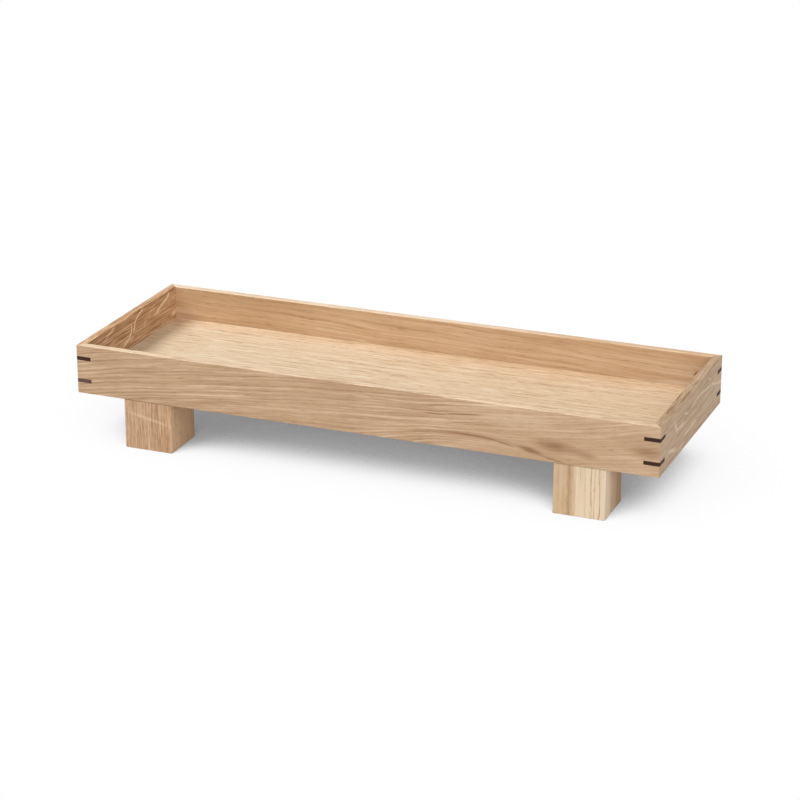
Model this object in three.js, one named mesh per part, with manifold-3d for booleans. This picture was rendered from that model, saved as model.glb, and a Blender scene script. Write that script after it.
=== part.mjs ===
// A footed oak tray. Four mitred walls are glued up around a tongued floor panel, each corner is locked
// by two walnut keys let into saw slots, and four square feet are dowelled to the panel from below.
// Millimetres, +Z up, X along the tray. The origin is on the table under the middle of the tray.
import * as THREE from 'three';
import { mergeVertices } from 'three/addons/utils/BufferGeometryUtils.js';
import Module from 'manifold-3d';

const wasm = await Module();
wasm.setup();

// Walls
const TRAY_LENGTH = 360;
const TRAY_WIDTH = 126;
const WALL_HEIGHT = 30;
const WALL_THICKNESS = 5;

// Floor panel, whose underside is level with the lower edges of the walls
const PANEL_THICKNESS = 9.6;
const TONGUE_THICKNESS = 3;
const TONGUE_LENGTH = 2.5; // how far the tongue reaches into a wall
const TONGUE_RAISE = 2.5; // from the panel's underside up to the tongue

// Corner keys
const KEY_THICKNESS = 2.3;
const KEY_EDGE_DISTANCE = 8; // from a wall's upper or lower edge to the middle of the nearer key
const KEY_COVER = 0.425; // wood left between a key and the tray's inside corner, along the mitre

// Feet
const FOOT_HEIGHT = 30.2;
const FOOT_SIDE = 30.7;
const FOOT_END_INSET = 30.6; // from the end of the tray to the nearer side of a foot
const FOOT_SETBACK = 0.3; // from the face of a long wall back to the face of a foot

// Dowels, two in each foot
const DOWEL_DIAMETER = 6;
const DOWEL_SPACING = 12;
const DOWEL_DEPTH_IN_FOOT = 13;
const DOWEL_COVER = 3; // wood left between a dowel's socket and the floor of the tray
const DOWEL_CHAMFER = 0.8;

// Softened edges
const ARRIS = 0.5;
const CORNER_EXTRA = 0.2; // how much rounder the upright corners are than the other edges

// Clearances
const GLUE_LINE = 0.3;
const PANEL_PLAY = 0.3; // room for the panel to swell inside the walls and in their grooves
const SOCKET_END_ROOM = 0.5; // room for glue past each end of a dowel

// Fineness of the round faces
const ARC_STEPS = 3;
const BEVEL_STEPS = 3;
const DOWEL_SIDES = 24;

// How far a cutter runs past the face that it opens, and how close two points are to be one
const CUT_OVERRUN = 1;
const WELD = 1e-4;

// Sizes that follow from the ones above
const UNDERSIDE = FOOT_HEIGHT + GLUE_LINE; // height of the walls and the panel above the table
const CORNER_RADIUS = ARRIS + CORNER_EXTRA;
const INNER_LENGTH = TRAY_LENGTH - 2 * WALL_THICKNESS;
const INNER_WIDTH = TRAY_WIDTH - 2 * WALL_THICKNESS;
const KEY_LEG = 2 * WALL_THICKNESS - KEY_COVER * Math.SQRT2; // along each outside face from the corner
const KEY_LEVELS = { lower: KEY_EDGE_DISTANCE, upper: WALL_HEIGHT - KEY_EDGE_DISTANCE };
const FOOT_UNDER_PANEL = FOOT_SIDE + FOOT_SETBACK - WALL_THICKNESS; // width of a foot inside of the wall
const DOWEL_OFFSET = (FOOT_SIDE - FOOT_UNDER_PANEL) / 2; // from a foot's middle towards the tray's middle
const SOCKET_RADIUS = DOWEL_DIAMETER / 2 + GLUE_LINE;

const QUARTER_TURN = Math.PI / 2;

// The corners in order round the tray. A turn brings the front left corner's shape to each of them.
const CORNERS = [
  { name: 'front_left', x: -TRAY_LENGTH / 2, y: -TRAY_WIDTH / 2, turn: 0 },
  { name: 'front_right', x: TRAY_LENGTH / 2, y: -TRAY_WIDTH / 2, turn: 1 },
  { name: 'back_right', x: TRAY_LENGTH / 2, y: TRAY_WIDTH / 2, turn: 2 },
  { name: 'back_left', x: -TRAY_LENGTH / 2, y: TRAY_WIDTH / 2, turn: 3 },
];

// The feet stand in from the corners. The back ones are turned end for end, so that in its own frame every
// foot has +Y towards the middle of the tray.
const FEET = CORNERS.map(({ name, x, y }) => ({
  name,
  x: x - Math.sign(x) * (FOOT_END_INSET + FOOT_SIDE / 2),
  y: y - Math.sign(y) * (FOOT_SETBACK + FOOT_SIDE / 2),
  inward: -Math.sign(y),
}));

// Finishes
const OILED_OAK = { color: 0xc9a781, roughness: 0.55, metalness: 0 };
const OILED_PALE_OAK = { color: 0xd8b78f, roughness: 0.55, metalness: 0 };
const OILED_WALNUT = { color: 0x4a2d24, roughness: 0.5, metalness: 0 };
const BARE_BEECH = { color: 0xd6b189, roughness: 0.75, metalness: 0 };

// A solid that can be cut and joined, from a closed geometry.
function asSolid(geometry) {
  const bare = geometry.clone();
  bare.deleteAttribute('normal');
  bare.deleteAttribute('uv');
  const welded = mergeVertices(bare, WELD);
  return new wasm.Manifold(
    new wasm.Mesh({
      numProp: 3,
      vertProperties: welded.attributes.position.array,
      triVerts: Uint32Array.from(welded.index.array),
    }),
  );
}

// The geometry of a solid, with flat faces.
function asGeometry(solid) {
  const { vertProperties, triVerts } = solid.getMesh();
  const shared = new THREE.BufferGeometry();
  shared.setAttribute('position', new THREE.BufferAttribute(vertProperties, 3));
  shared.setIndex(new THREE.BufferAttribute(triVerts, 1));
  const geometry = shared.toNonIndexed();
  geometry.computeVertexNormals();
  return geometry;
}

// A straight extrusion of an outline, from one height to another.
function prism(outline, bottom, top) {
  const options = { depth: top - bottom, bevelEnabled: false, curveSegments: ARC_STEPS };
  return new THREE.ExtrudeGeometry(outline, options).translate(0, 0, bottom);
}

// An upright round cutter, from one height to another.
function roundCutter(x, y, bottom, top) {
  const cylinder = new THREE.CylinderGeometry(SOCKET_RADIUS, SOCKET_RADIUS, top - bottom, DOWEL_SIDES);
  return asSolid(cylinder.rotateX(QUARTER_TURN).translate(x, y, (bottom + top) / 2));
}

// A block standing on its middle, with rounded upright corners and softened upper and lower edges.
function softBlock(length, width, height) {
  const x = length / 2 - CORNER_RADIUS;
  const y = width / 2 - CORNER_RADIUS;
  const outline = new THREE.Shape();
  outline.absarc(x, y, CORNER_RADIUS, 0, QUARTER_TURN);
  outline.absarc(-x, y, CORNER_RADIUS, QUARTER_TURN, 2 * QUARTER_TURN);
  outline.absarc(-x, -y, CORNER_RADIUS, 2 * QUARTER_TURN, 3 * QUARTER_TURN);
  outline.absarc(x, -y, CORNER_RADIUS, 3 * QUARTER_TURN, 4 * QUARTER_TURN);
  const block = new THREE.ExtrudeGeometry(outline, {
    depth: height - 2 * ARRIS,
    bevelThickness: ARRIS,
    bevelSize: ARRIS,
    bevelOffset: -ARRIS,
    bevelSegments: BEVEL_STEPS,
    curveSegments: ARC_STEPS,
  });
  return asSolid(block.translate(0, 0, ARRIS));
}

// The saw slots for both keys at each of the corners given.
function keySlots(corners) {
  const reach = KEY_LEG + GLUE_LINE * Math.SQRT2 + CUT_OVERRUN;
  const outline = new THREE.Shape();
  outline.moveTo(-CUT_OVERRUN, -CUT_OVERRUN);
  outline.lineTo(reach, -CUT_OVERRUN);
  outline.lineTo(-CUT_OVERRUN, reach);
  const halfSlot = KEY_THICKNESS / 2 + GLUE_LINE;
  const slots = corners.flatMap(({ x, y, turn }) =>
    Object.values(KEY_LEVELS).map((level) => {
      const slot = prism(outline, level - halfSlot, level + halfSlot);
      return asSolid(slot.rotateZ(turn * QUARTER_TURN).translate(x, y, 0));
    }),
  );
  return slots.reduce((all, slot) => all.add(slot));
}

// A wall in its own frame: X along it, Y inward from its outside face, Z up from its lower edge.
// Its section carries the groove for the panel's tongue, and its ends are sheared to the mitre.
function wallGeometry(length, across) {
  const grooveBack = WALL_THICKNESS - TONGUE_LENGTH - PANEL_PLAY;
  const grooveBottom = TONGUE_RAISE - PANEL_PLAY;
  const grooveTop = TONGUE_RAISE + TONGUE_THICKNESS + PANEL_PLAY;
  const section = new THREE.Shape();
  section.moveTo(0, 0);
  section.lineTo(WALL_THICKNESS, 0);
  section.lineTo(WALL_THICKNESS, grooveBottom);
  section.lineTo(grooveBack, grooveBottom);
  section.lineTo(grooveBack, grooveTop);
  section.lineTo(WALL_THICKNESS, grooveTop);
  section.absarc(WALL_THICKNESS - ARRIS, WALL_HEIGHT - ARRIS, ARRIS, 0, QUARTER_TURN);
  section.lineTo(0, WALL_HEIGHT);

  const board = prism(section, -length / 2, length / 2);
  const points = board.attributes.position;
  const halfGlue = GLUE_LINE / Math.SQRT2; // half of the glue line, measured along the wall
  for (let i = 0; i < points.count; i += 1) {
    const depth = points.getX(i);
    points.setZ(i, Math.sign(points.getZ(i)) * (length / 2 - depth - halfGlue));
  }
  const sectionToWall = new THREE.Matrix4().makeBasis(
    new THREE.Vector3(0, 1, 0),
    new THREE.Vector3(0, 0, 1),
    new THREE.Vector3(1, 0, 0),
  );
  board.applyMatrix4(sectionToWall);

  const sandedOutside = softBlock(length, across, WALL_HEIGHT).translate([0, across / 2, 0]);
  const ends = [
    { x: -length / 2, y: 0, turn: 0 },
    { x: length / 2, y: 0, turn: 1 },
  ];
  return asGeometry(asSolid(board).intersect(sandedOutside).subtract(keySlots(ends)));
}

// A corner key about its own mid-height: two legs along the outside faces from the front left corner,
// trimmed flush with them.
function keyGeometry() {
  const outline = new THREE.Shape();
  outline.moveTo(KEY_LEG, 0);
  outline.lineTo(0, KEY_LEG);
  outline.absarc(CORNER_RADIUS, CORNER_RADIUS, CORNER_RADIUS, 2 * QUARTER_TURN, 3 * QUARTER_TURN);
  return prism(outline, -KEY_THICKNESS / 2, KEY_THICKNESS / 2);
}

// The floor panel standing on its underside: a board with a tongue on all four edges and blind sockets
// below for the dowels. The key slots are sawn through walls and panel alike.
function panelGeometry() {
  const length = INNER_LENGTH - 2 * PANEL_PLAY;
  const width = INNER_WIDTH - 2 * PANEL_PLAY;
  const board = new THREE.BoxGeometry(length, width, PANEL_THICKNESS);
  board.translate(0, 0, PANEL_THICKNESS / 2);
  const tongueLength = INNER_LENGTH + 2 * TONGUE_LENGTH;
  const tongueWidth = INNER_WIDTH + 2 * TONGUE_LENGTH;
  const tongue = new THREE.BoxGeometry(tongueLength, tongueWidth, TONGUE_THICKNESS);
  tongue.translate(0, 0, TONGUE_RAISE + TONGUE_THICKNESS / 2);
  const top = PANEL_THICKNESS - DOWEL_COVER;
  const sockets = FEET.flatMap(({ x, y, inward }) =>
    [-1, 1].map((side) =>
      roundCutter(x + (side * DOWEL_SPACING) / 2, y + inward * DOWEL_OFFSET, -CUT_OVERRUN, top),
    ),
  );
  const panel = asSolid(board).add(asSolid(tongue)).subtract(keySlots(CORNERS));
  return asGeometry(sockets.reduce((rest, socket) => rest.subtract(socket), panel));
}

// A foot standing on the table, with its two dowel sockets in the top.
function footGeometry() {
  const bottom = FOOT_HEIGHT - DOWEL_DEPTH_IN_FOOT - SOCKET_END_ROOM;
  const sockets = [-1, 1].map((side) =>
    roundCutter((side * DOWEL_SPACING) / 2, DOWEL_OFFSET, bottom, FOOT_HEIGHT + CUT_OVERRUN),
  );
  const block = softBlock(FOOT_SIDE, FOOT_SIDE, FOOT_HEIGHT);
  return asGeometry(sockets.reduce((rest, socket) => rest.subtract(socket), block));
}

// A dowel at its height above the table, chamfered at both ends.
function dowelGeometry() {
  const radius = DOWEL_DIAMETER / 2;
  const bottom = FOOT_HEIGHT - DOWEL_DEPTH_IN_FOOT;
  const top = UNDERSIDE + PANEL_THICKNESS - DOWEL_COVER - SOCKET_END_ROOM;
  const profile = [
    new THREE.Vector2(0, bottom),
    new THREE.Vector2(radius - DOWEL_CHAMFER, bottom),
    new THREE.Vector2(radius, bottom + DOWEL_CHAMFER),
    new THREE.Vector2(radius, top - DOWEL_CHAMFER),
    new THREE.Vector2(radius - DOWEL_CHAMFER, top),
    new THREE.Vector2(0, top),
  ];
  return new THREE.LatheGeometry(profile, DOWEL_SIDES).rotateX(QUARTER_TURN);
}

// A named piece with a material of its own.
function piece(name, geometry, finish) {
  const mesh = new THREE.Mesh(geometry, new THREE.MeshStandardMaterial(finish));
  mesh.name = name;
  return mesh;
}

// Walls, panel and keys, as one frame standing on the feet
const frame = new THREE.Group();
frame.position.z = UNDERSIDE;

const longWall = wallGeometry(TRAY_LENGTH, TRAY_WIDTH);
const shortWall = wallGeometry(TRAY_WIDTH, TRAY_LENGTH);
const WALLS = [
  { name: 'front_wall', geometry: longWall, x: 0, y: -TRAY_WIDTH / 2, turn: 0 },
  { name: 'right_wall', geometry: shortWall, x: TRAY_LENGTH / 2, y: 0, turn: 1 },
  { name: 'back_wall', geometry: longWall, x: 0, y: TRAY_WIDTH / 2, turn: 2 },
  { name: 'left_wall', geometry: shortWall, x: -TRAY_LENGTH / 2, y: 0, turn: 3 },
];
for (const { name, geometry, x, y, turn } of WALLS) {
  const wall = piece(name, geometry, OILED_OAK);
  wall.position.set(x, y, 0);
  wall.rotation.z = turn * QUARTER_TURN;
  frame.add(wall);
}

frame.add(piece('floor_panel', panelGeometry(), OILED_PALE_OAK));

const keyShape = keyGeometry();
for (const { name, x, y, turn } of CORNERS) {
  for (const [level, height] of Object.entries(KEY_LEVELS)) {
    const key = piece(`${name}_${level}_key`, keyShape, OILED_WALNUT);
    key.position.set(x, y, height);
    key.rotation.z = turn * QUARTER_TURN;
    frame.add(key);
  }
}

const tray = new THREE.Group();
tray.add(frame);

// Feet, each with its two dowels
const footShape = footGeometry();
const dowelShape = dowelGeometry();
for (const { name, x, y, inward } of FEET) {
  const foot = new THREE.Group();
  foot.position.set(x, y, 0);
  foot.rotation.z = inward > 0 ? 0 : 2 * QUARTER_TURN;
  foot.add(piece(`${name}_foot`, footShape, OILED_OAK));
  for (const side of [-1, 1]) {
    const hand = side * inward < 0 ? 'left' : 'right';
    const dowel = piece(`${name}_foot_${hand}_dowel`, dowelShape, BARE_BEECH);
    dowel.position.set((side * DOWEL_SPACING) / 2, DOWEL_OFFSET, 0);
    foot.add(dowel);
  }
  tray.add(foot);
}

export default tray;
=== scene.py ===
import math
from functools import partial

import bmesh
import bpy
from mathutils import Matrix, Vector


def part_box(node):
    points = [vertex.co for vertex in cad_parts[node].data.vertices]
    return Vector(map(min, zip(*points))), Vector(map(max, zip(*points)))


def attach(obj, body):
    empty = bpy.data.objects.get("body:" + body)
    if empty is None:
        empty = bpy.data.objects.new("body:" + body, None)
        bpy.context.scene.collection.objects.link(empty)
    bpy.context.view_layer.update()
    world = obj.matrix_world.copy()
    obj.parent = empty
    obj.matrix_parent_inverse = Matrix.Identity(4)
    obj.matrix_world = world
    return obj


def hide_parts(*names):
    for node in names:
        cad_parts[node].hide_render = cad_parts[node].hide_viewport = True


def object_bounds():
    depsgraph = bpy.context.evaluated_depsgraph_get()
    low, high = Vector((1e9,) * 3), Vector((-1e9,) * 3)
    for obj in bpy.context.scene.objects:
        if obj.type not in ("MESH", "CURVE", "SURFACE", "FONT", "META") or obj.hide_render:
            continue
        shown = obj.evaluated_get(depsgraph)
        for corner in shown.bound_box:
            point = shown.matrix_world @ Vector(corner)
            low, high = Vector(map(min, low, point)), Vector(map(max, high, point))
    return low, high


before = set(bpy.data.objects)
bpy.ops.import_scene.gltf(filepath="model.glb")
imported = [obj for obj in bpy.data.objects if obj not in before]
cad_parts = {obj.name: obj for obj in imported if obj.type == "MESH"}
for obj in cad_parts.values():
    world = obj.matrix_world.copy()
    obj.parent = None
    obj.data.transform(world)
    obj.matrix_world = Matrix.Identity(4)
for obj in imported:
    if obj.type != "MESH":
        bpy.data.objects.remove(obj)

CAD_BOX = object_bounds()
MM = 0.001

# Floor panel. A flat oak board that carries what stands on the tray, planed, sanded and oiled.
# A tongue on all four edges sits loose in the grooves of the walls, and blind sockets in the underside
# take the dowels of the feet.
TRAY_LOW, TRAY_HIGH = CAD_BOX
WALL_LOW, WALL_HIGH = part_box("front_wall")
PANEL_LOW, PANEL_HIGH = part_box("floor_panel")
WALL_THICKNESS = WALL_HIGH.y - WALL_LOW.y
PANEL_GAP = 0.12 * MM
PANEL_ARRIS = 0.25 * MM
TONGUE_RAISE = 2.5 * MM
TONGUE_THICKNESS = 3 * MM
DOWEL_ROOM = 0.3 * MM
DOWEL_SIDES = 32
SMOOTH_ANGLE = math.radians(32)


def solid_from_rings(name, rings):
    """A closed mesh object through rings of equally many points, with a flat cap on the first and last."""
    solid = bmesh.new()
    loops = [[solid.verts.new(point) for point in ring] for ring in rings]
    for near, far in zip(loops, loops[1:]):
        for i in range(len(near)):
            j = (i + 1) % len(near)
            solid.faces.new((near[i], near[j], far[j], far[i]))
    solid.faces.new(loops[0][::-1])
    solid.faces.new(loops[-1])
    bmesh.ops.recalc_face_normals(solid, faces=solid.faces)
    mesh = bpy.data.meshes.new(name)
    solid.to_mesh(mesh)
    solid.free()
    piece = bpy.data.objects.new(name, mesh)
    bpy.context.scene.collection.objects.link(piece)
    return piece


def cut_away(piece, cutters):
    """Takes the cutters' shapes out of a piece, for good, and removes the cutters."""
    for cutter in cutters:
        cut = piece.modifiers.new("cut", "BOOLEAN")
        cut.operation = "DIFFERENCE"
        cut.solver = "EXACT"
        cut.object = cutter
    bpy.context.view_layer.update()
    shaped = piece.evaluated_get(bpy.context.evaluated_depsgraph_get())
    rough = piece.data
    piece.data = bpy.data.meshes.new_from_object(shaped)
    piece.modifiers.clear()
    bpy.data.meshes.remove(rough)
    for cutter in cutters:
        bpy.data.meshes.remove(cutter.data)


def soften(piece):
    """Shades round faces smooth and keeps flat faces flat."""
    piece.data.shade_smooth()
    piece.data.set_sharp_from_angle(angle=SMOOTH_ANGLE)
    weighted = piece.modifiers.new("flat_faces", "WEIGHTED_NORMAL")
    weighted.keep_sharp = True


def round_cutter(name, centre, radius, bottom, top):
    """An upright round cutter."""
    turns = [2 * math.pi * i / DOWEL_SIDES for i in range(DOWEL_SIDES)]
    rings = [
        [(centre.x + radius * math.cos(a), centre.y + radius * math.sin(a), height) for a in turns]
        for height in (bottom, top)
    ]
    return solid_from_rings(name, rings)


def sockets_for(dowels):
    """A cutter for each dowel's socket, a little wider and longer than the dowel."""
    cutters = []
    for dowel in dowels:
        low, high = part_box(dowel)
        radius = (high.x - low.x) / 2 + DOWEL_ROOM
        bottom = low.z - DOWEL_ROOM
        top = high.z + DOWEL_ROOM
        cutters.append(round_cutter("socket", (low + high) / 2, radius, bottom, top))
    return cutters


def panel_ring(inset, height):
    """The panel's outline, set in from the outside of the tray, at a height."""
    low = TRAY_LOW + Vector((inset, inset, 0))
    high = TRAY_HIGH - Vector((inset, inset, 0))
    corners = ((low.x, low.y), (high.x, low.y), (high.x, high.y), (low.x, high.y))
    return [(x, y, height) for x, y in corners]


panel_edge = WALL_THICKNESS + PANEL_GAP
tongue_edge = PANEL_LOW.x - TRAY_LOW.x
tongue_bottom = PANEL_LOW.z + TONGUE_RAISE
tongue_top = tongue_bottom + TONGUE_THICKNESS
panel = solid_from_rings("oak_floor_panel", [
    panel_ring(panel_edge + PANEL_ARRIS, PANEL_LOW.z),
    panel_ring(panel_edge, PANEL_LOW.z + PANEL_ARRIS),
    panel_ring(panel_edge, tongue_bottom),
    panel_ring(tongue_edge, tongue_bottom),
    panel_ring(tongue_edge, tongue_top),
    panel_ring(panel_edge, tongue_top),
    panel_ring(panel_edge, PANEL_HIGH.z - PANEL_ARRIS),
    panel_ring(panel_edge + PANEL_ARRIS, PANEL_HIGH.z),
])
DOWELS = [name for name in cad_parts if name.endswith("_dowel")]
cut_away(panel, sockets_for(DOWELS))
soften(panel)


def linear(hex_colour):
    """A linear RGBA colour from an sRGB hex value such as #d8b78f."""
    channels = [int(hex_colour[i:i + 2], 16) / 255 for i in (1, 3, 5)]
    return [c / 12.92 if c <= 0.04045 else ((c + 0.055) / 1.055) ** 2.4 for c in channels] + [1.0]


def grey(level):
    """A grey of a linear level, for a ramp that is read as a number."""
    return [level, level, level, 1.0]


def empty_tree(owner):
    """The node tree of a material or a world, with its default nodes taken out."""
    owner.use_nodes = True
    owner.node_tree.nodes.clear()
    return owner.node_tree


def add_node(tree, kind, settings, inputs, stops=None):
    """Adds a shader node. An input is a node or socket to link, or a value. stops are a ramp's colours."""
    node = tree.nodes.new("ShaderNode" + kind)
    for name, value in settings.items():
        setattr(node, name, value)
    for key, value in inputs.items():
        source = value.outputs[0] if isinstance(value, bpy.types.Node) else value
        if isinstance(source, bpy.types.NodeSocket):
            tree.links.new(source, node.inputs[key])
        else:
            node.inputs[key].default_value = source
    if stops:
        elements = node.color_ramp.elements
        elements.remove(elements[-1])
        first, *others = stops.items()
        elements[0].position, elements[0].color = first
        for position, colour in others:
            elements.new(position).color = colour
    return node


# Sanded and oiled oak. The annual rings give lines along the grain, with coarse open pores as short dark
# dashes and pale ray flecks where the saw ran along the rays. The oil has soaked in and left no film, so
# the open pores keep it matt, with only a faint sheen. Lengths are in millimetres, along the grain, across
# the face and through the board.
WOOD_IOR = 1.5
OAK_ROUGHNESS = 0.6
OAK_ROUGHNESS_SPREAD = 0.25
OAK_SHEEN = 0.32  # below the usual 0.5, because the open pores scatter the gloss
OAK_BUMP = 0.25
PORE_DEPTH = 0.08 * MM
DASH_HEIGHT = 0.4  # as a share of the depth of a pore
OAK_PLAIN_TONE = 0.55  # where plain wood lies between the dark and the light tone
FAR = 10000  # further than any board reaches
ALL_THROUGH = (0, FAR)

# Each pattern's length along the grain and width across it, how many finer layers it has, and a shift that
# keeps it apart from the others. The streaks, dashes and rays of each board have lengths of their own.
WANDER = {"length": 80, "width": 20, "detail": 2, "shift": 0}
MOTTLE = {"length": 70, "width": 14, "detail": 3, "shift": 300}
RING_DRIFT = {"length": 400, "detail": 1, "shift": 600}
PORE = {"length": 6, "width": 0.36, "detail": 1, "shift": 900}  # about 0.2 wide, drawn wider to show
STREAK = {"detail": 3, "shift": 1200}
DASH = {"detail": 2, "shift": 1500}
RAY = {"detail": 1, "shift": 1800}
RAGGED_EDGE = {"length": 12, "width": 2.5, "detail": 2, "shift": 2100}
RAY_BREAK = {"detail": 2, "shift": 2400}
DASH_ROW = {"length": 120, "width": 5, "detail": 1, "shift": 2700}
PATTERN_MIDDLE = 0.5
PATTERN_ROUGHNESS = 0.55

# From where to where on its pattern a pore opens, a row of dashes fades in, or a ray shows.
PORE_LIMITS = {"From Min": 0.04, "From Max": 0.2}
ROW_LIMITS = {"From Min": -0.15, "From Max": 0.1}
RAY_LIMITS = {"From Min": -0.04, "From Max": 0.1}

DRIFT_WIDTH, DRIFT_REACH = 2, 1.5  # in rings
SPRING_LEVELS = {0.0: 0.1, 0.12: 1.0, 0.45: 0.25, 1.0: 0.1}  # how dark a ring is, from spring to autumn
SPRING_PORES = 0.7  # the share of the pores that only the spring growth has
RAGGED_REACH = 3.0  # how far a ragged outline strays
MARK_BREAK = 3.0  # how strongly the streaks break up a mark

# Settings of the shader nodes that the patterns are made with.
SCALED_SUM = {"operation": "MULTIPLY_ADD"}
DIFFERENCE = {"operation": "SUBTRACT"}
PRODUCT = {"operation": "MULTIPLY"}
SMOOTH_STEP = {"interpolation_type": "SMOOTHSTEP"}
LAID_OUT = {"vector_type": "TEXTURE"}


def mark(centre, size, shade=0.0, **more):
    """A place where a board differs, along and across the grain, and how much lighter or darker it is.

    It may have a turn in degrees, a depth (its middle and reach through the board), a bend, and a core
    (the inner share at full strength). lift arches the rings over it, and calm takes figure away. A
    ragged one has a broken outline, and an even one isn't broken up by the streaks.
    """
    return {"centre": centre, "size": size, "shade": shade, **more}


def mark_fall(add, spot, board):
    """How strongly a mark shows at each place on a board, from 1 in its core to 0 at its outline."""
    depth, reach = spot.get("depth", ALL_THROUGH)
    near = add("Mapping", LAID_OUT, {
        "Vector": board,
        "Location": (*spot["centre"], depth),
        "Rotation": (0, 0, math.radians(spot.get("turn", 0.0))),
        "Scale": (*spot["size"], reach),
    })
    if "bend" in spot:
        parts = add("SeparateXYZ", {}, {0: near}).outputs
        bow = add("Math", PRODUCT, {0: parts["X"], 1: parts["X"]})
        bent = add("Math", SCALED_SUM, {0: bow, 1: spot["bend"], 2: parts["Y"]})
        near = add("CombineXYZ", {}, {0: parts["X"], 1: bent, 2: parts["Z"]})
    away = add("VectorMath", {"operation": "LENGTH"}, {0: near}).outputs["Value"]
    return add("MapRange", SMOOTH_STEP, {"Value": away, "From Min": 1.0, "From Max": spot.get("core", 0.0)})


def grain_pattern(add, start, vector, length, width, detail, shift, turn=0.0):
    """Noise drawn out along the grain, above and below 0."""
    laid = add("Mapping", LAID_OUT, {
        "Vector": vector,
        "Location": (start + shift, shift, 0),
        "Rotation": (0, 0, math.radians(turn)),
        "Scale": (length, width, width),
    })
    noise = {"Vector": laid, "Scale": 1.0, "Detail": detail, "Roughness": PATTERN_ROUGHNESS}
    return add("Math", DIFFERENCE, {0: add("TexNoise", {}, noise), 1: PATTERN_MIDDLE})


def spring_growth(add, pattern, grain, lines, ring):
    """Rings side by side: a dark porous line where growth starts in spring, then paler and denser wood."""
    drift = pattern(grain, width=DRIFT_WIDTH * ring, **RING_DRIFT)
    uneven = add("Math", SCALED_SUM, {0: drift, 1: DRIFT_REACH * ring, 2: lines})
    count = add("Math", {"operation": "DIVIDE"}, {0: uneven, 1: ring})
    season = add("Math", {"operation": "FRACT"}, {0: count})
    levels = {position: grey(level) for position, level in SPRING_LEVELS.items()}
    return add("ValToRGB", {}, {"Fac": season}, levels)


def ray_flecks(add, pattern, board, length, width, breadth, turn):
    """Thin lines where the saw ran along the rays, broken here and there."""
    field = pattern(board, length, width, turn=turn, **RAY)
    off_line = add("Math", {"operation": "ABSOLUTE"}, {0: field})
    fleck = add("MapRange", SMOOTH_STEP, {"Value": off_line, "From Min": breadth, "From Max": 0.0})
    gaps = pattern(board, length / 2, width, **RAY_BREAK)
    unbroken = add("MapRange", SMOOTH_STEP, {"Value": gaps, **RAY_LIMITS})
    return add("Math", PRODUCT, {0: fleck, 1: unbroken})


def wood_surface(add, colour, height, bump, depth, rough, sheen):
    """Ends the nodes of a wood with its colour, bump, roughness and sheen."""
    normal = add("Bump", {}, {"Height": height, "Strength": bump, "Distance": depth})
    surface = add("BsdfPrincipled", {}, {
        "Base Color": colour, "Roughness": rough, "IOR": WOOD_IOR, "Specular IOR Level": sheen,
        "Normal": normal,
    })
    add("OutputMaterial", {}, {"Surface": surface})


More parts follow.
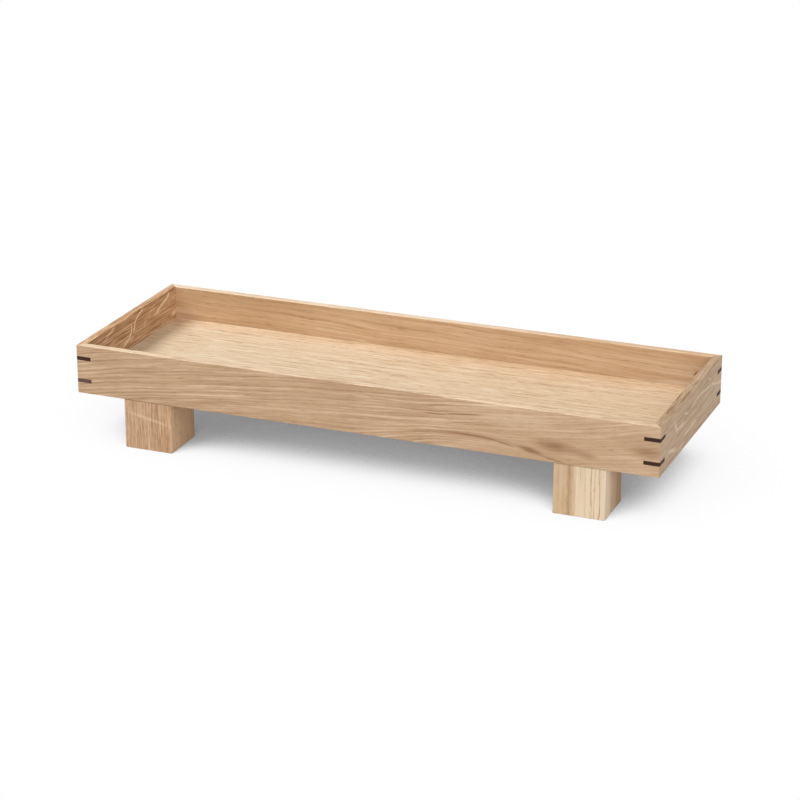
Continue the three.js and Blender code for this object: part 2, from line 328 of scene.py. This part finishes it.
def oiled_oak(name, axes, tones, start, wander, ring, slope=0.0, curl=0.0, tilt=0.5, ring_shade=0.16,
              streak=(70, 1.1), streak_shade=0.6, dash=(14, 0.9), dash_shade=0.35, rows=False,
              pore_shade=0.3, mottle_shade=0.5, marks=(), rays=None, ray_shade=0.0):
    """Oak for one board: axes names the object axes along the grain, across the face and through the board.

    tones runs from dark to light. start moves along the log to other figure. slope, curl, tilt and wander
    say how the rings run, and ring is the width of one. streak and dash are lengths and widths, and rows
    gathers the dashes in rows. Each shade is how strongly that part of the figure shows.
    """
    material = bpy.data.materials.new(name)
    add = partial(add_node, empty_tree(material))
    pattern = partial(grain_pattern, add, start)
    place = add("TexCoord", {}, {}).outputs["Object"]
    in_mm = add("VectorMath", {"operation": "SCALE"}, {0: place, "Scale": 1 / MM})
    split = add("SeparateXYZ", {}, {0: in_mm}).outputs
    along, across, through = [split[axis] for axis in axes]
    board = add("CombineXYZ", {}, {0: along, 1: across, 2: through})
    ragged = add("Math", SCALED_SUM, {0: pattern(board, **RAGGED_EDGE), 1: RAGGED_REACH, 2: across})
    ragged_board = add("CombineXYZ", {}, {0: along, 1: ragged, 2: through})
    falls = [(mark_fall(add, spot, ragged_board if spot.get("ragged") else board), spot) for spot in marks]

    # Where the growth rings run: they wander, lean, slope and curl, and arch over some marks.
    square = add("Math", PRODUCT, {0: along, 1: along})
    cube = add("Math", PRODUCT, {0: square, 1: along})
    courses = [(pattern(board, **WANDER), wander), (through, tilt), (along, slope), (cube, curl)]
    courses += [(fall, -spot["lift"]) for fall, spot in falls if "lift" in spot]
    lines = across
    for course, amount in courses:
        lines = add("Math", SCALED_SUM, {0: course, 1: amount, 2: lines})
    grain = add("CombineXYZ", {}, {0: along, 1: lines, 2: through})

    # The figure: rings, pores, streaks and dashes, calmer in some marks.
    spring = spring_growth(add, pattern, grain, lines, ring)
    open_pores = add("MapRange", SMOOTH_STEP, {"Value": pattern(grain, **PORE), **PORE_LIMITS})
    share = add("Math", SCALED_SUM, {0: spring, 1: SPRING_PORES, 2: 1 - SPRING_PORES})
    pores = add("Math", PRODUCT, {0: open_pores, 1: share})
    streaks = pattern(grain, *streak, **STREAK)
    dashes = pattern(grain, *dash, **DASH)
    if rows:
        row = add("MapRange", SMOOTH_STEP, {"Value": pattern(grain, **DASH_ROW), **ROW_LIMITS})
        dashes = add("Math", PRODUCT, {0: dashes, 1: row})
    figure = add("Math", PRODUCT, {0: spring, 1: -ring_shade})
    for layer, amount in ((streaks, streak_shade), (dashes, dash_shade)):
        figure = add("Math", SCALED_SUM, {0: layer, 1: amount, 2: figure})
    for fall, spot in falls:
        if "calm" in spot:
            left_over = add("Math", SCALED_SUM, {0: fall, 1: -spot["calm"], 2: 1.0})
            figure = add("Math", PRODUCT, {0: figure, 1: left_over})

    # The tone from dark to light: mottle, figure, pores, marks and rays on the plain wood.
    layers = [(pattern(board, **MOTTLE), mottle_shade), (figure, 1.0), (pores, -pore_shade)]
    broken = add("Math", SCALED_SUM, {0: streaks, 1: MARK_BREAK, 2: 1.0})
    for fall, spot in falls:
        strength = fall if spot.get("even") else add("Math", PRODUCT, {0: fall, 1: broken})
        layers.append((strength, spot["shade"]))
    if rays:
        layers.append((ray_flecks(add, pattern, board, **rays), ray_shade))
    tone = OAK_PLAIN_TONE
    for layer, amount in layers:
        tone = add("Math", SCALED_SUM, {0: layer, 1: amount, 2: tone})
    dark, middle, light = [linear(hex_colour) for hex_colour in tones]
    colour = add("ValToRGB", {}, {"Fac": tone}, {0.0: dark, 0.5: middle, 1.0: light})

    # The relief: open pores are sunk, and pale dashes stand a little proud and are rougher.
    raised = add("Math", PRODUCT, {0: dashes, 1: DASH_HEIGHT})
    height = add("Math", DIFFERENCE, {0: raised, 1: pores})
    rough = add("Math", SCALED_SUM, {0: dashes, 1: OAK_ROUGHNESS_SPREAD, 2: OAK_ROUGHNESS})
    wood_surface(add, colour, height, OAK_BUMP, PORE_DEPTH, rough, OAK_SHEEN)
    return material


panel.data.materials.append(oiled_oak(
    "sanded_oiled_oak_floor", "XYZ", ("#ac8964", "#d7bb9a", "#e8d8be"), start=40, tilt=0.8, wander=2,
    ring=5.0, ring_shade=0.06, streak=(120, 1.8), streak_shade=0.65, dash=(14, 1.2), dash_shade=1.8,
    rows=True, pore_shade=0.6, mottle_shade=0.2,
    marks=[
        # Paler on the left as painted sheen that fades towards the right, and calmer wood on the right.
        mark((-140, 0), (260, 400), 0.12, ragged=True),
        mark((140, 0), (160, 400), calm=0.2, ragged=True),
        # Painted shade and painted reflection of the back wall: a darker band along the back, lessened at
        # the back-left end. A little darker in the middle.
        mark((0, 64), (FAR, 24), -0.3),
        mark((-140, 57), (70, 11), 0.18),
        mark((60, 38), (130, 26), -0.07),
    ],
))
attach(panel, "root")
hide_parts("floor_panel")

# Walls. Four thin oak boards grooved for the panel, mitred and glued round it at the corners.
# Their outside edges are softened with sandpaper after gluing, and each corner is sawn for two keys.
CORNERS = ("front_left", "front_right", "back_right", "back_left")
KEY_LEVELS = ("lower", "upper")
ARRIS = 0.5 * MM
ARRIS_STEPS = 5
CORNER_RADIUS = 0.7 * MM
CORNER_STEPS = 5
STRAIGHT_START = 1.5 * WALL_THICKNESS
GROOVE_PLAY = 0.3 * MM  # room for the panel to swell
MITRE_LINE = 0.04 * MM  # how far each mitre stays back for the glue
KEY_LINE = 0.02 * MM  # glue round a key
SLOT_OVERCUT = 1 * MM


def arc(x, y, radius, first, last, steps):
    """Points on an arc round (x, y), with its angles in degrees."""
    turns = [math.radians(first + (last - first) * i / steps) for i in range(steps + 1)]
    return [(x + radius * math.cos(turn), y + radius * math.sin(turn)) for turn in turns]


def wall_section():
    """The wall's outline as (depth from its outside face, height), with rounded edges and the groove."""
    height = WALL_HIGH.z - WALL_LOW.z
    groove_back = tongue_edge - GROOVE_PLAY
    groove_bottom = TONGUE_RAISE - GROOVE_PLAY
    groove_top = TONGUE_RAISE + TONGUE_THICKNESS + GROOVE_PLAY
    return (
        arc(ARRIS, ARRIS, ARRIS, 180, 270, ARRIS_STEPS)
        + [(WALL_THICKNESS, 0), (WALL_THICKNESS, groove_bottom), (groove_back, groove_bottom)]
        + [(groove_back, groove_top), (WALL_THICKNESS, groove_top)]
        + arc(WALL_THICKNESS - ARRIS, height - ARRIS, ARRIS, 0, 90, ARRIS_STEPS)
        + arc(ARRIS, height - ARRIS, ARRIS, 90, 180, ARRIS_STEPS)
    )


def corner_path(depth):
    """How a point at this depth runs from the mitre round the corner to the straight, as (along, depth)."""
    path = []
    for step in range(CORNER_STEPS + 1):
        part = step / CORNER_STEPS
        if depth < CORNER_RADIUS:
            turn = math.radians(45 + 45 * part)
            radius = CORNER_RADIUS - depth
            path.append((CORNER_RADIUS - radius * math.cos(turn), CORNER_RADIUS - radius * math.sin(turn)))
        else:
            path.append((depth + part * (STRAIGHT_START - depth) / 2, depth))
    path[0] = (path[0][0] + MITRE_LINE, path[0][1])
    path.append((STRAIGHT_START, depth))
    return path


def wall_rings(length):
    """The wall's section at each station from mitre to mitre, with X along the wall, Y inward and Z up."""
    section = wall_section()
    paths = [corner_path(depth) for depth, height in section]
    stations = range(len(paths[0]))
    first_half = [[(*path[i], height) for path, (_, height) in zip(paths, section)] for i in stations]
    second_half = [[(length - x, y, z) for x, y, z in ring] for ring in reversed(first_half)]
    return first_half + second_half


def corner_place(turn):
    """The move from a shape at the front left corner to the same shape at the corner this many turns on."""
    corner = [
        (TRAY_LOW.x, TRAY_LOW.y), (TRAY_HIGH.x, TRAY_LOW.y),
        (TRAY_HIGH.x, TRAY_HIGH.y), (TRAY_LOW.x, TRAY_HIGH.y),
    ][turn % len(CORNERS)]
    quarter_turns = Matrix.Rotation(math.radians(90 * turn), 4, "Z")
    exact = Matrix([[round(value) for value in row] for row in quarter_turns])
    return Matrix.Translation((*corner, WALL_LOW.z)) @ exact


def key_rings(leg, bottom, top, outside):
    """A key's triangle at two heights, with a round outer corner, or as a cutter that reaches outside."""
    if outside:
        outline = [(-outside, -outside), (leg + outside, -outside), (-outside, leg + outside)]
    else:
        outline = [(leg, 0), (0, leg)]
        outline += arc(CORNER_RADIUS, CORNER_RADIUS, CORNER_RADIUS, 180, 270, 2 * CORNER_STEPS)
    return [[(x, y, height) for x, y in outline] for height in (bottom, top)]


def key_slots(turn):
    """Cutters for the two saw slots at a corner."""
    cutters = []
    for level in KEY_LEVELS:
        low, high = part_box(f"{CORNERS[turn % len(CORNERS)]}_{level}_key")
        leg = high.x - low.x + math.sqrt(2) * KEY_LINE
        bottom = low.z - WALL_LOW.z - KEY_LINE
        top = high.z - WALL_LOW.z + KEY_LINE
        cutter = solid_from_rings("slot", key_rings(leg, bottom, top, outside=SLOT_OVERCUT))
        cutter.data.transform(corner_place(turn))
        cutters.append(cutter)
    return cutters


# Where marks lie on the walls, in millimetres. Those on an inside face fade out towards the outside, and
# the flat top of each wall is marked apart from the faces, mostly with painted sheen: lighter on the front,
# back and left rims, a little darker on the right one.
TRAY_SIZE = TRAY_HIGH - TRAY_LOW
LEFT_INSIDE = ((TRAY_LOW.x + WALL_THICKNESS) / MM, 9)  # the face, and how far marks reach from it
BACK_INSIDE = ((TRAY_HIGH.y - WALL_THICKNESS) / MM, 2.5)
WALL_BOTTOM = WALL_LOW.z / MM
RIM_HEIGHT = WALL_HIGH.z / MM
RIM_BAND = 0.25  # how far down from its top a wall counts as rim
RIM_CORE = 0.4
FLECK_OVERLAP = 1.5  # so that the stretches of a line run into each other


def flecks(points, width, shade, depth=ALL_THROUGH):
    """Marks along the line through some points on a face, one for each stretch of it."""
    marks = []
    for first, last in zip(points, points[1:]):
        run = Vector(last) - Vector(first)
        middle = (Vector(first) + Vector(last)) / 2
        size = (FLECK_OVERLAP * run.length / 2 + width / 2, width / 2)
        turn = math.degrees(math.atan2(run.y, run.x))
        marks.append(mark(middle, size, shade, turn=turn, depth=depth, even=True))
    return marks


def rim(along, reach, shade, **more):
    """A mark on the flat top of a wall, or on one stretch of it."""
    return mark((along, RIM_HEIGHT), (reach, RIM_BAND), shade, core=RIM_CORE, **more)


WALLS = {
    "front_wall": (TRAY_SIZE.x, oiled_oak(
        "sanded_oiled_oak_front", "XZY", ("#8f6b4a", "#b89878", "#e3c9aa"), start=0, slope=-0.075,
        curl=-1.3e-6, wander=4.5, ring=2.7, ring_shade=0.14, streak=(60, 1.4), streak_shade=1.2,
        dash_shade=0.4, mottle_shade=0.6,
        marks=[
            # The rings arch over one place at the lower edge, with dark lines and patches down its right.
            mark((62, 29), (70, 16), lift=9.0, ragged=True),
            mark((67, 40), (60, 1.9), -0.35, bend=5.1),
            *flecks([(60, 39.9), (76, 39.7), (84, 38.8), (94, 36.9)], 1.5, -0.35),
            mark((105, 36), (10, 2.8), -0.5, turn=-12),
            *flecks([(112, 33.5), (124, 31.3)], 1.6, -0.4),
            mark((119, 40.5), (18, 5.5), -0.42, turn=-4),
            mark((136, 38), (12, 3.5), -0.25, turn=-10),
            mark((173, 44.5), (15, 5), -0.42),
            # Calmer wood at the right end and left of the middle.
            mark((150, 50), (110, 60), -0.03, core=0.5, calm=0.5),
            mark((-30, 45), (60, 40), -0.06, calm=0.3),
            # Short dark lines above the arch, broad tones under the rim, and the rim lighter as painted
            # sheen, with less of it towards the right end and more at the left end.
            *flecks([(40.6, 49.5), (54, 49.9)], 1.2, -0.6),
            *flecks([(52, 50.3), (75, 52.8)], 1.3, -0.8),
            *flecks([(56.6, 45.6), (72.6, 47.9)], 1.0, -0.4),
            mark((-15, 59), (40, 6), -0.18),
            mark((75, 59), (60, 7), 0.16),
            rim(0, FAR, 0.45),
            rim(170, 110, -0.2),
            rim(-165, 50, 0.2),
        ],
    )),
    "right_wall": (TRAY_SIZE.y, oiled_oak(
        "sanded_oiled_oak_right", "YZX", ("#8c6b4b", "#b6987a", "#c8b399"), start=500, tilt=0.2, wander=6,
        ring=3.0, dash_shade=1.2, streak_shade=0.85,
        marks=[
            # Pale rays across the face, dark lines on the rim, a darker lower edge as painted shade, and
            # the rim a little darker as painted sheen that is weaker than on the front and back rims.
            *flecks([(-35.5, 53), (-30, 46.2)], 3.4, 0.8),
            *flecks([(-30, 47), (-16, 46.3)], 3.6, 0.7),
            *flecks([(-16.2, 52), (-9, 49.6)], 2.4, 0.7),
            *flecks([(-1, 50.5), (9, 52), (18, 52), (27, 51), (38, 50.2)], 2.6, 0.8),
            *flecks([(41.5, 49.7), (50.5, 47), (64, 43.8)], 2.8, 0.8),
            *flecks([(-14.4, 38.3), (-2, 38.4), (9, 39.3)], 2.8, 0.8),
            *flecks([(-45.9, 39.8), (-32.4, 36.2)], 4.2, 0.8),
            *flecks([(33, 55.6), (38, 54.2)], 2.4, 0.6),
            mark((0, WALL_BOTTOM), (FAR, 4), -0.2),
            rim(0, FAR, -0.06),
            rim(-36, 9, -0.6, depth=(176.8, 1.0)),
            rim(-12, 16, -0.7, depth=(179.0, 0.8)),
            rim(-13, 9, -0.6, depth=(175.6, 0.8)),
        ],
    )),
    "back_wall": (TRAY_SIZE.x, oiled_oak(
        "sanded_oiled_oak_back", "XZY", ("#9c7651", "#caa782", "#e8d1b5"), start=900, slope=0.03, wander=7,
        ring=4.2, ring_shade=0.05, streak=(90, 1.1), streak_shade=0.8, dash_shade=0.35, mottle_shade=0.4,
        marks=[
            # Darker towards the left end; lighter at the inside right end, painted light where the right
            # wall shades the corner; and a small dark spot on the inside near the right end.
            mark((-125, 50), (70, 60), -0.15),
            mark((172, 42), (50, 16), 0.4),
            *flecks([(164.6, 47.5), (166.4, 49.7)], 1.4, -1.2, BACK_INSIDE),
            # Darker near the top and lighter lower down, and the rim lighter as painted sheen, with less of
            # it towards the right end and more at the left end.
            mark((0, RIM_HEIGHT), (FAR, 8), -0.1),
            mark((0, 46), (FAR, 5), 0.08),
            rim(0, FAR, 0.4),
            rim(155, 110, -0.24),
            rim(-125, 90, 0.25),
        ],
    )),
    "left_wall": (TRAY_SIZE.y, oiled_oak(
        "sanded_oiled_oak_left", "YZX", ("#815a38", "#be936b", "#ebceab"), start=1300, tilt=0.1, wander=5,
        ring=2.4, ring_shade=0.25, streak=(50, 1), streak_shade=1.1, dash=(20, 0.7), dash_shade=1.7,
        rays={"length": 24, "width": 8, "breadth": 0.04, "turn": 40}, ray_shade=0.15,
        marks=[
            # Pale rays that rise across the inside face, broad tones, and the rim a little lighter as
            # painted sheen.
            *flecks([(-38, 54.7), (-28.2, 58), (-23.3, 60)], 2.2, 0.5, LEFT_INSIDE),
            *flecks([(-13.2, 43.5), (-5, 46.9), (-2.5, 50), (-2, 54)], 2.4, 0.7, LEFT_INSIDE),
            *flecks([(0.5, 49), (1.6, 52), (3.1, 55.2), (8, 57.8), (14, 60.2)], 2.4, 0.7, LEFT_INSIDE),
            *flecks([(29.7, 51.3), (38.2, 54.4), (46.1, 56.9), (48.9, 59.1)], 3.0, 0.7, LEFT_INSIDE),
            mark((54.5, 44), (6, 2.5), 0.4, ragged=True),
            mark((44, 43), (16, 4), 0.15, depth=LEFT_INSIDE),
            mark((-21, 58.5), (9, 3), -0.2, depth=LEFT_INSIDE),
            mark((0, RIM_HEIGHT), (FAR, 6), -0.1, depth=LEFT_INSIDE),
            rim(0, FAR, 0.08),
        ],
    )),
}
for turn, (node, (length, oak)) in enumerate(WALLS.items()):
    wall = solid_from_rings(f"oak_{node}", wall_rings(length))
    wall.data.transform(corner_place(turn))
    cut_away(wall, key_slots(turn) + key_slots(turn + 1))
    soften(wall)
    wall.data.materials.append(oak)
    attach(wall, "root")
    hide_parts(node)

# Corner keys. Thin triangles of walnut glued into the saw slots across each mitre, two to a corner.
# They are trimmed and sanded flush with both walls, so each shows as a short dark bar on either face.
# Sanded and oiled walnut is far darker than the oak, with fine streaks along the bar and almost no sheen.
WALNUT_STREAK = (9, 9, 0.5)
WALNUT_STREAK_DETAIL = 3
WALNUT_ROUGHNESS = 0.6
WALNUT_SHEEN = 0.25
WALNUT_TONES = {0.3: "#281308", 0.7: "#412515"}
SHEEN_PAINTED_WALNUT_TONES = {0.3: "#4a332b", 0.7: "#6a4d43"}  # for one key, paler as painted sheen where it catches the light
STREAK_BUMP = 0.2
STREAK_DEPTH = 0.05 * MM
STREAK_ROUGHNESS_SPREAD = 0.2


def fine_wood(name, streak, detail, tones, roughness, sheen, shift=0):
    """Wood with fine streaks, sized in millimetres along each axis, and a colour for each of their levels.

    shift moves to other streaks.
    """
    material = bpy.data.materials.new(name)
    add = partial(add_node, empty_tree(material))
    place = add("TexCoord", {}, {}).outputs["Object"]
    streak_size = [size * MM for size in streak]
    laid = add("Mapping", LAID_OUT, {"Vector": place, "Location": (shift, 0, 0), "Scale": streak_size})
    streaks = add("TexNoise", {}, {"Vector": laid, "Scale": 1.0, "Detail": detail})
    stops = {position: linear(tone) for position, tone in tones.items()}
    colour = add("ValToRGB", {}, {"Fac": streaks}, stops)
    rough = add("Math", SCALED_SUM, {0: streaks, 1: STREAK_ROUGHNESS_SPREAD, 2: roughness})
    wood_surface(add, colour, streaks, STREAK_BUMP, STREAK_DEPTH, rough, sheen)
    return material


for turn, corner in enumerate(CORNERS):
    for level in KEY_LEVELS:
        node = f"{corner}_{level}_key"
        low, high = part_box(node)
        rings = key_rings(high.x - low.x, low.z - WALL_LOW.z, high.z - WALL_LOW.z, outside=0)
        key = solid_from_rings(f"walnut_{node}", rings)
        key.data.transform(corner_place(turn))
        soften(key)
        # One key is paler: painted sheen where it catches the light.
        tones = SHEEN_PAINTED_WALNUT_TONES if node == "front_left_lower_key" else WALNUT_TONES
        key.data.materials.append(fine_wood(
            f"sanded_oiled_walnut_{node}", WALNUT_STREAK, WALNUT_STREAK_DETAIL, tones, WALNUT_ROUGHNESS,
            WALNUT_SHEEN, shift=turn,
        ))
        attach(key, "root")
        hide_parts(node)

# Feet. Four square oak blocks sawn from thicker stock with the grain upright, sanded on every edge.
# Each is bored for two dowels and glued up against the wall and the panel.
FOOT_LINE = 0.06 * MM  # glue on top of a foot
FOOT_TONES = ("#906a47", "#b99674", "#cdb093")
PALE_FOOT_TONES = ("#977551", "#c2a583", "#d6c2a7")
PALE_FOOT_DARK_LINES = (141.1, 143, 145.8)
FOOT_MIDDLE = 15  # halfway up a foot


def block_ring(low, high, inset, height):
    """A rounded square at a height, set in from the block's sides."""
    radius = CORNER_RADIUS - inset
    centres = [
        (high.x - CORNER_RADIUS, high.y - CORNER_RADIUS), (low.x + CORNER_RADIUS, high.y - CORNER_RADIUS),
        (low.x + CORNER_RADIUS, low.y + CORNER_RADIUS), (high.x - CORNER_RADIUS, low.y + CORNER_RADIUS),
    ]
    points = []
    for quarter, (x, y) in enumerate(centres):
        points += arc(x, y, radius, 90 * quarter, 90 * quarter + 90, CORNER_STEPS)
    return [(x, y, height) for x, y in points]


def foot_rings(low, high):
    """The foot's outline at each height, with softened lower and upper edges."""
    edge = arc(ARRIS, ARRIS, ARRIS, 270, 180, ARRIS_STEPS)
    lower = [block_ring(low, high, inset, low.z + rise) for inset, rise in edge]
    upper = [block_ring(low, high, inset, high.z - rise) for inset, rise in reversed(edge)]
    return lower + upper


FEET = {
    "front_left": oiled_oak(
        "sanded_oiled_oak_front_left_foot", "ZXY", FOOT_TONES, start=2100, tilt=0.3, wander=2, ring=2.2,
        streak_shade=1.0, dash_shade=1.2, pore_shade=0.9,
        marks=[
            # One pale ray across the front, pale lines up the block, and the right side lighter as painted
            # light bounced from the floor, with calmer figure there.
            mark((20.2, -134), (1.6, 20), 0.45, turn=11.5, ragged=True),
            mark((FOOT_MIDDLE, -133), (100, 1.6), 0.25, ragged=True),
            mark((FOOT_MIDDLE, -125.5), (100, 0.8), 0.25, ragged=True),
            mark((FOOT_MIDDLE, -118.7), (100, 1.2), 0.12, core=0.5, calm=0.75, ragged=True),
        ],
    ),
    "front_right": oiled_oak(
        "sanded_oiled_oak_front_right_foot", "ZXY", PALE_FOOT_TONES, start=2500, tilt=0.2, wander=1,
        ring=4.0, ring_shade=0.15, streak_shade=0.8, dash_shade=0.2,
        marks=[
            # A pale band up the right half of the front, dark lines in it, and a darker back.
            mark((FOOT_MIDDLE, 142.5), (200, 11.5), 0.7, depth=(-63, 16), core=0.75, ragged=True),
            mark((FOOT_MIDDLE, 122), (200, 5), core=0.5, calm=0.6, ragged=True),
            mark((FOOT_MIDDLE, 127.8), (200, 1.6), -0.3, ragged=True),
            *[mark((FOOT_MIDDLE, x), (200, 0.6), -0.8, ragged=True) for x in PALE_FOOT_DARK_LINES],
            mark((FOOT_MIDDLE, 149), (200, 30), -0.42, depth=(-32, 22), ragged=True),
        ],
    ),
    "back_right": oiled_oak(
        "sanded_oiled_oak_back_right_foot", "ZXY", FOOT_TONES, start=2900, tilt=0.6, wander=2, ring=3.0,
    ),
    "back_left": oiled_oak(
        "sanded_oiled_oak_back_left_foot", "ZXY", FOOT_TONES, start=3300, tilt=0.5, wander=2, ring=2.6,
    ),
}
for corner, oak in FEET.items():
    node = f"{corner}_foot"
    low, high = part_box(node)
    high.z = WALL_LOW.z - FOOT_LINE
    foot = solid_from_rings(f"oak_{node}", foot_rings(low, high))
    cut_away(foot, sockets_for([dowel for dowel in DOWELS if dowel.startswith(node)]))
    soften(foot)
    foot.data.materials.append(oak)
    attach(foot, "root")
    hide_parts(node)

# Dowels. Short turned beech pegs, two to a foot, glued into blind sockets in the foot and the panel.
# They are hidden once the tray is together, and keep the shape of the frame's own nodes.
# Bare turned beech is pale and even, with short darker flecks along the peg, and dull without a finish.
BEECH_FLECK = (0.5, 0.5, 2.5)
BEECH_FLECK_DETAIL = 2
BEECH_ROUGHNESS = 0.65
BEECH_SHEEN = 0.5
BEECH_TONES = {0.3: "#b98a5e", 0.65: "#dcb88f"}
beech = fine_wood(
    "bare_turned_beech", BEECH_FLECK, BEECH_FLECK_DETAIL, BEECH_TONES, BEECH_ROUGHNESS, BEECH_SHEEN,
)
for dowel in DOWELS:
    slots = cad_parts[dowel].data.materials
    slots.clear()
    slots.append(beech)

# Sweep. A sheet of matt white acrylic under the tray, which shows plain white with no reflections.
# It keeps the soft shadow of the tray, drawn by how much of the light from in front is hidden.
SWEEP_REACH = 8.0
SWEEP_WHITE = "#e7e7e7"
SHADOW_SIDE = (0.0, -0.45, 0.90)  # where that light comes from
SHADOW_REACH = 1.0  # how far away something still hides it
SHADOW_LEVELS = {  # how white the sweep shows, for the share of the light that is left
    0.0: 0.0, 0.1: 0.26, 0.19: 0.262, 0.24: 0.305, 0.3: 0.465, 0.41: 0.76, 0.52: 0.905, 0.64: 0.962,
    0.85: 1.0,
}


def seen_rays(add):
    """1 for rays that show a surface directly or mirrored, 0 for rays that only carry light."""
    path = add("LightPath", {}, {}).outputs
    seen = path["Is Camera Ray"]
    for kind in ("Is Glossy Ray", "Is Transmission Ray"):
        seen = add("Math", {"operation": "MAXIMUM"}, {0: seen, 1: path[kind]})
    return seen


sweep_mesh = bpy.data.meshes.new("white_sweep")
sweep_corners = [(x * SWEEP_REACH, y * SWEEP_REACH, 0) for x, y in ((-1, -1), (1, -1), (1, 1), (-1, 1))]
sweep_mesh.from_pydata(sweep_corners, [], [(0, 1, 2, 3)])
sweep = bpy.data.objects.new("white_sweep", sweep_mesh)
bpy.context.scene.collection.objects.link(sweep)

white = bpy.data.materials.new("matt_white_acrylic")
add = partial(add_node, empty_tree(white))
matt = add("BsdfDiffuse", {}, {"Color": linear(SWEEP_WHITE)})
# The occlusion node reads a direction only through a link, so another node holds it.
shadow_side = add("VectorMath", {"operation": "NORMALIZE"}, {0: SHADOW_SIDE})
light_left = add("AmbientOcclusion", {}, {"Distance": SHADOW_REACH, "Normal": shadow_side}).outputs["AO"]
shadow_stops = {share: grey(level) for share, level in SHADOW_LEVELS.items()}
shade = add("ValToRGB", {}, {"Fac": light_left}, shadow_stops)
shown = add("Emission", {}, {"Color": shade})
surface = add("MixShader", {}, {0: seen_rays(add), 1: matt, 2: shown})
add("OutputMaterial", {}, {"Surface": surface})
sweep.data.materials.append(white)

# Room and softboxes. An even white room, with a softbox high on the left, a large one low on the right,
# and a weak one in front. The room shows plain white and gives only a low level of light.
ROOM_LIGHT = 0.22
ROOM_WHITE = 1.0
SOFTBOXES = {  # the side it stands on, its strength, and how many degrees of the sky it fills
    "high_softbox": ((-0.72, -0.15, 1.0), 2.55, 30),
    "right_softbox": ((0.75, -0.55, 0.45), 1.65, 60),
    "front_softbox": ((0.1, -1.0, 0.25), 0.81, 50),
}
room = bpy.data.worlds.new("white_room")
bpy.context.scene.world = room
add = partial(add_node, empty_tree(room))
level = add("MapRange", {}, {"Value": seen_rays(add), "To Min": ROOM_LIGHT, "To Max": ROOM_WHITE})
light = add("Background", {}, {"Strength": level})
add("OutputWorld", {}, {"Surface": light})
for name, (side, strength, breadth) in SOFTBOXES.items():
    softbox = bpy.data.lights.new(name, "SUN")
    softbox.energy = strength
    softbox.angle = math.radians(breadth)
    stand = bpy.data.objects.new(name, softbox)
    stand.rotation_euler = Vector(side).to_track_quat("Z", "Y").to_euler()
    bpy.context.scene.collection.objects.link(stand)

# Camera. A long lens, a little above the tray and to the right of its front.
# Its place was worked out from the tray's straight edges.
CAMERA_TURN = math.radians(21.94)
CAMERA_TILT = math.radians(20.70)
CAMERA_DISTANCE = 1.5267
CAMERA_AIM = Vector((1.5, 0.2, 29.1)) * MM
CAMERA_LENS = 115.8
SENSOR_WIDTH = 36
lens = bpy.data.cameras.new("camera")
lens.lens = CAMERA_LENS
lens.sensor_width = SENSOR_WIDTH
camera = bpy.data.objects.new("camera", lens)
camera.rotation_euler = (math.pi / 2 - CAMERA_TILT, 0, CAMERA_TURN)
camera.location = CAMERA_AIM + camera.rotation_euler.to_matrix() @ Vector((0, 0, CAMERA_DISTANCE))
bpy.context.scene.collection.objects.link(camera)
bpy.context.scene.camera = camera
bpy.context.scene.view_settings.view_transform = "Standard"
